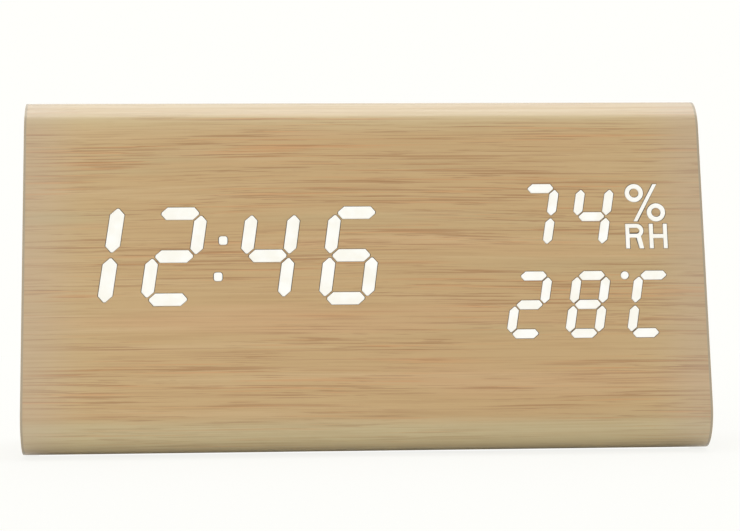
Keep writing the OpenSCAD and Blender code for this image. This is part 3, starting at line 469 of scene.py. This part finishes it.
ribbonGrey = mouldedFinish("ribbon_grey", tint(186, 187, 190), tint(168, 169, 172), rough=0.5)
steel = metalFinish("plated_steel", tint(206, 205, 202), tint(178, 177, 174), rough=0.3,
                    lengths=(3, 0.25, 0.25))
ringSteel = metalFinish("ring_steel", tint(192, 189, 184), tint(172, 168, 162), rough=0.24,
                        lengths=(1.4, 0.9, 0.9))
gold = metalFinish("gold_contact", tint(228, 184, 96), tint(206, 158, 74), rough=0.25,
                   lengths=(0.3, 2, 0.3))
board = boardFinish()
litFilm = litFinish()
circuit = circuitFinish()
cellSleeve = sleeveFinish()

nodeFinishes = {
    frontWood: ["wood_wrap"],
    endWood: ["left_end_veneer", "right_end_veneer"],
    board: ["front_panel", "back_panel", "base_panel", "left_end_panel", "right_end_panel"],
    footRubber: ["rubber_feet"],
    litFilm: [
        "lit_time_digits", "lit_humidity_digits", "lit_temperature_digits", "lit_unit_marks",
    ],
    maskBlack: ["light_mask"],
    whitePlastic: ["display_reflector", "ribbon_sockets", "board_spacers", "climate_sensor"],
    clearPlastic: [
        "time_light_guides", "humidity_light_guides", "temperature_light_guides",
        "unit_light_guides",
    ],
    circuit: ["led_board", "main_board"],
    phosphor: ["led_chips"],
    chipBlack: ["led_drivers", "clock_chip"],
    steel: [
        "display_screws", "board_screws", "timing_crystal", "sound_sensor", "usb_socket",
        "tray_screws", "cell_cans", "contact_plates", "contact_springs",
    ],
    ringSteel: ["button_collars"],
    ribbonGrey: ["display_ribbon"],
    capSleeve: ["board_capacitors"],
    blackPlastic: [
        "buzzer", "usb_tongue", "usb_bezel", "vent_grilles", "set_button", "down_button",
        "up_button", "battery_tray", "battery_door",
    ],
    greyPlastic: ["switch_bodies", "set_plunger", "down_plunger", "up_plunger"],
    cellSleeve: ["cell_sleeves"],
    redWire: ["positive_lead"],
    blackWire: ["negative_lead"],
}
for finish, names in nodeFinishes.items():
    for name in names:
        nodes[name].data.materials.clear()
        nodes[name].data.materials.append(finish)
print("finishes:", len(nodeFinishes), "on", sum(map(len, nodeFinishes.values())), "nodes")


# New pieces are lofts. Sizes are in mm, along a set of three ways: right, up and outwards.

_, pressY, pressZ = next(
    joint["axis"] for joint in frame["joints"] if joint["name"] == "set_press"
)
backWays = np.array([[-1, 0, 0], [0, pressZ, -pressY], [0, -pressY, -pressZ]])
baseWays = np.array([[1, 0, 0], [0, -1, 0], [0, 0, -1]])
meshClean = {"merge": 0.001, "collapse": 0.0005, "sharp": 40}       # mm, mm and degrees
tiny = 1e-9         # stands for the length of a side that has none


# lowest place, middle and highest place of a CAD node along the three ways
def reach(name, ways):
    mesh = nodes[name].data
    places = np.empty(3 * len(mesh.vertices))
    mesh.vertices.foreach_get("co", places)
    along = places.reshape(-1, 3) @ ways.T / mm
    low, high = along.min(axis=0), along.max(axis=0)
    return low, (low + high) / 2, high


# places of a row of like pieces about its middle
def spread(count, pitch):
    return (np.arange(count) - (count - 1) / 2) * pitch


# Corners turned into short parabolas, each from one side of its corner to the other. A curve starts
# and ends an ease away, along the axis where the side is longest, or halfway along a short side.
# A point at t from 0 to 1 is (1 - t) squared of its start, 2 t (1 - t) of its corner and t squared
# of its end.
def eased(corners, ease, steps=5):
    middle = np.array(corners, float)
    size = np.array(ease, float)[:, None]
    ends = []
    for turn in (1, -1):
        way = np.roll(middle, turn, axis=0) - middle
        length = np.abs(way).max(axis=1, keepdims=True)
        ends.append(middle + way / np.maximum(length, tiny) * np.minimum(size, length / 2))
    start, end = (places[:, None] for places in ends)
    t = np.linspace(0, 1, steps)[None, :, None]
    curve = (1 - t) ** 2 * start + 2 * t * (1 - t) * middle[:, None] + t ** 2 * end
    return curve.reshape(-1, middle.shape[1])


# Rows of a turned piece: at each level a circle, which is a polygon that is all corners
def turned(profile):
    radius, level = np.array(profile, float).T
    return np.stack([radius, radius, radius, level], axis=1)


# Rows of a flat plate: the same outline low and high, drawn in to its middle at both ends
def plateRows(halfWidth, halfHeight, corner, low, high):
    outline = (halfWidth, halfHeight, corner)
    return [(0, 0, 0, low), (*outline, low), (*outline, high), (0, 0, 0, high)]


# Rows of a rounded bar: straight sides up to the shoulder, then a quarter ellipse up to the crown.
# At an angle the half width goes by its cosine, and the rise above the shoulder by its sine.
def barRows(halfWidth, halfLength, low, shoulder, crown, steps=7):
    spine = halfLength - halfWidth
    angle = np.linspace(0, np.pi / 2, steps)
    half = halfWidth * np.cos(angle)
    level = shoulder + (crown - shoulder) * np.sin(angle)
    foot = [(0, spine, 0, low), (halfWidth, halfLength, halfWidth, low)]
    return np.concatenate([foot, np.stack([half, spine + half, half, level], axis=1)])


# A row is (half width, half height, corner radius, level) of a polygon with round corners.
# A point is its corner's centre plus the corner radius along the point's own angle.
def loft(rows, centre, sides=4, turn=45, steps=9):
    span = 2 * np.pi / sides
    middles = np.radians(turn) + span * np.arange(sides)
    angle = (middles[:, None] + np.linspace(-span / 2, span / 2, steps)).ravel()
    towards = np.repeat(middles, steps)
    halfWidth, halfHeight, corner, level = np.array(rows, float).T[:, :, None]
    out = 1 / np.cos(span / 2)      # how much further out a corner lies than a side
    right = centre[0] + out * np.cos(towards) * (halfWidth - corner) + corner * np.cos(angle)
    up = centre[1] + out * np.sin(towards) * (halfHeight - corner) + corner * np.sin(angle)
    return np.stack(np.broadcast_arrays(right, up, level), axis=-1)


# One mesh from several lofts, each closed round its rows and from its last row to its first
def loftMesh(name, lofts, ways):
    points, quads, count = [], [], 0
    for grid in lofts:
        index = count + np.arange(grid.shape[0] * grid.shape[1]).reshape(grid.shape[:2])
        ahead = np.roll(index, -1, axis=1)
        corners = [index, ahead, np.roll(ahead, -1, axis=0), np.roll(index, -1, axis=0)]
        quads.append(np.stack(corners, axis=-1).reshape(-1, 4))
        points.append(grid.reshape(-1, 3) @ ways * mm)
        count += index.size
    mesh = bpy.data.meshes.new(name)
    mesh.from_pydata(np.concatenate(points).tolist(), [], np.concatenate(quads).tolist())
    shape = bmesh.new()
    shape.from_mesh(mesh)
    bmesh.ops.remove_doubles(shape, verts=shape.verts, dist=meshClean["merge"] * mm)
    bmesh.ops.dissolve_degenerate(shape, edges=shape.edges, dist=meshClean["collapse"] * mm)
    loose = [edge for edge in shape.edges if not edge.link_faces]
    bmesh.ops.delete(shape, geom=loose, context="EDGES")
    bmesh.ops.recalc_face_normals(shape, faces=shape.faces)
    shape.to_mesh(mesh)
    shape.free()
    mesh.polygons.foreach_set("use_smooth", np.ones(len(mesh.polygons), bool))
    mesh.set_sharp_from_angle(angle=math.radians(meshClean["sharp"]))
    return mesh


def addObject(name, data):
    added = bpy.data.objects.new(name, data)
    bpy.context.scene.collection.objects.link(added)
    return added


def makePiece(name, lofts, ways, finish, body, replaced=()):
    mesh = loftMesh(name, lofts, ways)
    mesh.materials.append(finish)
    piece = addObject(name, mesh)
    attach(piece, body)
    if replaced:
        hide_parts(*replaced)
    print("piece:", name, len(mesh.polygons), "faces")


# Rubber feet: low pads with a soft lower edge

footPad = {"radius": 3.0, "ease": 0.28}


def makeFeet():
    low, middle, high = reach("rubber_feet", baseWays)
    radius, ease = footPad["radius"], footPad["ease"]
    profile = [(0, low[2]), (radius, low[2]), (radius, high[2]), (0, high[2])]
    rows = turned(eased(profile, [0, 0, ease, 0]))
    half = (high - low) / 2 - radius
    spots = [(middle[0] + i * half[0], middle[1] + j * half[1]) for i in (-1, 1) for j in (-1, 1)]
    makePiece("foot_pads", [loft(rows, spot) for spot in spots], baseWays, footRubber, "clock",
              ["rubber_feet"])


# Push buttons: dished caps on a flange and stem, with a white mark filled in, each in a turned ring

buttonCap = {
    "radius": 3.5,
    "edge": 0.45,
    "dish": 0.2,
    "flange": 4.3,
    "flangeLow": 6.9,
    "flangeHigh": 5.9,
    "stem": 1.5,
}
buttonMark = {
    "radius": 1.75,
    "line": 0.5,
    "corner": 0.18,
    "ease": 0.04,
    "below": (0.1, 0.3),        # its face and its foot lie this far below the cap's rim
}
buttonRing = {
    "bore": 3.55,
    "sleeve": 4.45,
    "lip": 5.55,
    "flat": 4.35,
    "lipThick": 0.5,
    "rim": 0.16,
    "ease": 0.1,
}


# The dish is a parabola: a point lies below the top by the dish's depth times 1 minus the square of
# its radius over the dish's own. Then come the eased edge, the side, the flange and the stem.
def capRows(top, low, steps=10):
    cap = buttonCap
    inner = cap["radius"] - cap["edge"]
    radius = np.linspace(0, inner, steps)
    dish = np.stack([radius, top - cap["dish"] * (1 - (radius / inner) ** 2)], axis=1)
    flangeLow, flangeHigh = top - cap["flangeLow"], top - cap["flangeHigh"]
    side = [
        (cap["radius"], top), (cap["radius"], flangeHigh), (cap["flange"], flangeHigh),
        (cap["flange"], flangeLow), (cap["stem"], flangeLow), (cap["stem"], low), (0, low),
    ]
    ease = [0.0] * len(dish) + [cap["edge"]] + [0.0] * (len(side) - 1)
    return turned(eased(np.concatenate([dish, side]), ease))


# A ring turned from a rectangle, or a three-cornered plate that points up or down
def markLoft(kind, centre, top):
    mark = buttonMark
    radius, ease = mark["radius"], mark["ease"]
    high, low = (top - depth for depth in mark["below"])
    if kind == "set":
        inner = radius - mark["line"]
        profile = [(inner, low), (inner, high), (radius, high), (radius, low)]
        return loft(turned(eased(profile, [0, ease, ease, 0])), centre)
    half = radius / 2       # from the middle to a side, where a corner is at the radius
    rows = plateRows(half, half, mark["corner"], low, high)
    return loft(rows, centre, sides=3, turn=90 if kind == "up" else -90)


# A ring turned from its profile: up the bore, over the flat, down a slope to the lip's rim, and
# back under the lip to the sleeve
def ringRows(top, low):
    ring = buttonRing
    face = top - ring["lipThick"]
    profile = [
        (ring["bore"], low), (ring["bore"], top), (ring["flat"], top),
        (ring["lip"], face + ring["rim"]), (ring["lip"], face),
        (ring["sleeve"], face), (ring["sleeve"], low),
    ]
    return turned(eased(profile, [0, ring["ease"], 2 * ring["ease"], ring["ease"], 0, 0, 0]))


def makeButtons():
    ringLow, _, ringHigh = reach("button_collars", backWays)
    rings = []
    for kind in ("set", "down", "up"):
        body = kind + "_button"
        low, middle, high = reach(body, backWays)
        centre = middle[:2]
        cap = loft(capRows(high[2], low[2]), centre)
        mark = markLoft(kind, centre, high[2])
        makePiece(kind + "_cap", [cap], backWays, blackPlastic, body, [body])
        makePiece(kind + "_mark", [mark], backWays, markWhite, body)
        rings.append(loft(ringRows(ringHigh[2], ringLow[2]), centre, steps=13))
    makePiece("button_rings", rings, backWays, ringSteel, "clock",
              ["button_collars"])


# Power inlet: a frame with a sloped lip round the recess, and gilt strips on the socket's tongue

inletFrame = {
    "opening": (6.0, 4.0),
    "corner": 0.7,
    "wall": 0.9,
    "lip": 1.2,
    "lipThick": 0.6,
    "rim": 0.18,
    "flat": 0.9,
    "ease": 0.14,
}
inletStrips = {"count": 5, "pitch": 0.65, "half": 0.17, "corner": 0.02, "thick": 0.04, "back": 0.4}


# Rows of a frame: up the opening, over the flat, down a slope to the lip's rim, and back under
# the lip to the sleeve
def frameRows(look, opening, sleeve, lip, top, low):
    width, height = opening
    corner, flat, ease = look["corner"], look["flat"], look["ease"]
    face = top - look["lipThick"]
    corners = [
        (width, height, corner, low), (width, height, corner, top),
        (width + flat, height + flat, corner + flat, top),
        (*lip, corner + flat, face + look["rim"]), (*lip, corner + flat, face),
        (*sleeve, corner, face), (*sleeve, corner, low),
    ]
    return eased(corners, [0, ease, 2 * ease, ease, 0, 0, 0])


def makeInlet():
    look = inletFrame
    low, middle, high = reach("usb_bezel", backWays)
    opening = np.array(look["opening"])
    sleeve = opening + look["wall"]
    rows = frameRows(look, opening, sleeve, sleeve + look["lip"], high[2], low[2])
    makePiece("inlet_frame", [loft(rows, middle[:2])], backWays, blackPlastic, "clock",
              ["usb_bezel"])


def makeStrips():
    look = inletStrips
    low, middle, high = reach("usb_tongue", backWays)
    half = (high[1] - low[1]) / 2 + look["thick"]
    rows = plateRows(look["half"], half, look["corner"], low[2], high[2] - look["back"])
    offsets = spread(look["count"], look["pitch"])
    strips = [loft(rows, (middle[0] + offset, middle[1]), steps=3) for offset in offsets]
    makePiece("inlet_strips", strips, backWays, gold, "clock")


# Vents: the same frame with rounded bars across it

ventFrame = {
    "outer": (7.5, 4.5),
    "sleeve": (6.5, 3.5),
    "opening": (5.917, 2.5),
    "corner": 0.5,
    "lipThick": 0.6,
    "rim": 0.18,
    "flat": 0.7,
    "ease": 0.14,
}
ventBars = {"count": 5, "half": 0.583, "into": 0.35, "below": 0.12, "round": 0.4}


def makeVents():
    look, bars = ventFrame, ventBars
    low, _, high = reach("vent_grilles", backWays)
    width, height = look["outer"]
    spots = [(low[0] + width, high[1] - height), (high[0] - width, low[1] + height)]
    rows = frameRows(look, look["opening"], look["sleeve"], look["outer"], high[2], low[2])
    lofts = [loft(rows, spot) for spot in spots]
    barLength = look["opening"][1] + bars["into"]
    crown = high[2] - bars["below"]
    bar = barRows(bars["half"], barLength, low[2], crown - bars["round"], crown)
    offsets = spread(bars["count"], 2 * look["sleeve"][0] / (bars["count"] + 1))
    for x, y in spots:
        lofts += [loft(bar, (x + offset, y), steps=5) for offset in offsets]
    makePiece("vent_frames", lofts, backWays, blackPlastic, "clock",
              ["vent_grilles"])


# Battery door: finger ridges and an arrow near its free end

doorGrip = {
    "first": 36.0,
    "pitch": 1.9,
    "count": 5,
    "half": 0.5,
    "length": 6.0,
    "rise": 0.24,
    "sunk": 0.2,
}
doorArrow = {"place": 31.0, "radius": 2.6, "corner": 0.3, "rise": 0.16, "ease": 0.08}


def makeDoorGrip():
    grip, arrow = doorGrip, doorArrow
    *_, high = reach("battery_door", baseWays)
    face = high[2]
    low = face - grip["sunk"]
    rows = barRows(grip["half"], grip["length"], low, face, face + grip["rise"])
    places = grip["first"] + np.arange(grip["count"]) * grip["pitch"]
    lofts = [loft(rows, (place, 0), steps=5) for place in places]
    half = arrow["radius"] / 2      # from the middle to a side, as on the button marks
    plate = plateRows(half, half, arrow["corner"], low, face + arrow["rise"])
    rows = eased(plate, [0, 0, arrow["ease"], 0])
    lofts.append(loft(rows, (arrow["place"], 0), sides=3, turn=0))
    makePiece("door_grip", lofts, baseWays, blackPlastic, "battery_door")


makeFeet()
makeButtons()
makeInlet()
makeStrips()
makeVents()
makeDoorGrip()


# Floor, light and camera, in metres

studio = {
    "white": (1.0, 1.0, 0.97, 1.0),
    "ambient": 0.5,
    "floorHalf": 4.0,
    "floorTone": (0.88, 0.88, 0.865, 1.0),
    "floorGlow": 0.85,                  # share of plain white that the camera sees beside the part
    "shadowReach": 0.3,                 # from here on the floor is all white
    "underAt": (-0.009, 0.006),         # gloss sees the floor darken from here in under the part
    "openingInset": (0.003, 0.010),     # the floor is open under the base, which is lit from below
    "panels": {
        # place, aim, width, depth, watts, whether gloss shows it
        "overhead": ((0.03, 0.01, 0.80), (0.03, 0.01, 0), 0.56, 0.40, 1.85, True),
        "behind": ((0.03, 0.525, 0.80), (0.03, 0.525, 0), 0.56, 0.63, 1.0, True),
        "ceiling": ((0, 0.1, 1.2), (0, 0.1, 0), 1.6, 1.6, 3.2, False),
        "front": ((-0.62, -0.75, 0.32), (0, 0, 0.04), 0.90, 0.555, 3.06, False),
        "rear": ((0.4, 1.4, 0.7), (0, 0, 0.04), 1.2, 0.9, 4.0, False),
        "below": ((0, -0.1, -0.8), (0, 0, 0), 0.6, 0.6, 1.5, False),
    },
}


# the rays that see the plain white studio: the camera's own, and those by gloss or glass
def seenRays(finish):
    path = finish.node("ShaderNodeLightPath")
    rays = ("Is Camera Ray", "Is Glossy Ray", "Is Transmission Ray")
    camera, gloss, glass = finish.outputs(path, *rays)
    return camera, finish.maths("MAXIMUM", gloss, glass)


def makeWorld():
    world = bpy.data.worlds.new("studio")
    bpy.context.scene.world = world
    finish = Finish(world)
    seen = finish.maths("MAXIMUM", *seenRays(finish))
    dim, white = (
        finish.node("ShaderNodeBackground", {}, {"Color": studio["white"], "Strength": strength})
        for strength in (studio["ambient"], 1.0)
    )
    both = finish.node("ShaderNodeMixShader", {}, {0: seen, 1: dim, 2: white})
    finish.node("ShaderNodeOutputWorld", {}, {"Surface": both})


# All but white to the camera and in gloss, plain to other light, and clear from below
def floorFinish():
    finish = newFinish("pale_floor")
    camera, mirrored = seenRays(finish)
    plain = finish.node("ShaderNodeBsdfDiffuse", {}, {"Color": studio["floorTone"]})
    glow = finish.node("ShaderNodeEmission", {}, {"Color": studio["white"], "Strength": 1.0})
    x, y, _ = finish.split(finish.place())
    pastEnd = finish.maths("ABSOLUTE", x) - cadBox[1][0]
    pastFront = finish.maths("ABSOLUTE", y) - cadBox[1][1]
    away = finish.maths("MAXIMUM", pastEnd, pastFront)
    beside = studio["floorGlow"]
    white = finish.step(away, 0, studio["shadowReach"]) * (1 - beside) + beside
    inGloss = mirrored * finish.step(away, *studio["underAt"])
    share = white * finish.maths("MAXIMUM", camera, inGloss)
    both = finish.node("ShaderNodeMixShader", {}, {0: share, 1: plain, 2: glow})
    below = finish.node("ShaderNodeNewGeometry", out="Backfacing")
    clear = finish.node("ShaderNodeBsdfTransparent")
    oneSided = finish.node("ShaderNodeMixShader", {}, {0: below, 1: both, 2: clear})
    finish.node("ShaderNodeOutputMaterial", {}, {"Surface": oneSided})
    return finish.owner


# A flat square with an opening: four quads between the outer corners and the inner ones
def makeFloor():
    around = np.array([[-1, -1, 0], [1, -1, 0], [1, 1, 0], [-1, 1, 0]])
    opening = [edge - inset for edge, inset in zip(cadBox[1], studio["openingInset"])]
    corners = np.concatenate([around * studio["floorHalf"], around * [*opening, 0]])
    outer = np.arange(len(around))
    ahead = np.roll(outer, -1)
    quads = np.stack([outer, ahead, ahead + len(around), outer + len(around)], axis=-1)
    mesh = bpy.data.meshes.new("floor")
    mesh.from_pydata(corners.tolist(), [], quads.tolist())
    mesh.materials.append(floorFinish())
    floor = addObject("floor", mesh)


def makePanels():
    for name, (place, aim, width, depth, watts, inGloss) in studio["panels"].items():
        lamp = bpy.data.lights.new(name, "AREA")
        lamp.shape = "RECTANGLE"
        lamp.size = width
        lamp.size_y = depth
        lamp.energy = watts
        panel = addObject(name, lamp)
        panel.location = place
        panel.rotation_euler = (Vector(aim) - Vector(place)).to_track_quat("-Z", "Y").to_euler()
        panel.visible_camera = False
        panel.visible_glossy = inGloss


# metres, degrees, and millimetres of lens and sensor
cameraFit = {
    "target": (0.00159, 0.0, 0.04085),
    "azimuth": -3.55,
    "elevation": 1.26,
    "roll": -0.337,
    "distance": 0.4868,
    "lens": 104.75,
    "sensor": 36.0,
}


def makeCamera():
    fit = cameraFit
    turn, lift, roll = (math.radians(fit[key]) for key in ("azimuth", "elevation", "roll"))
    level = math.cos(lift)
    back = Vector((math.sin(turn) * level, -math.cos(turn) * level, math.sin(lift)))
    right = (-back).cross(Vector((0, 0, 1))).normalized()
    up = right.cross(-back)
    rolledRight = math.cos(roll) * right + math.sin(roll) * up
    rolledUp = math.cos(roll) * up - math.sin(roll) * right
    axes = Matrix((rolledRight, rolledUp, back)).transposed().to_4x4()
    optics = bpy.data.cameras.new("camera")
    optics.lens = fit["lens"]
    optics.sensor_width = fit["sensor"]
    camera = addObject("camera", optics)
    camera.matrix_world = Matrix.Translation(Vector(fit["target"]) + back * fit["distance"]) @ axes
    bpy.context.scene.camera = camera


makeWorld()
makeFloor()
makePanels()
makeCamera()
bpy.context.scene.view_settings.view_transform = "Standard"
print("studio: floor,", len(studio["panels"]), "panels and camera")
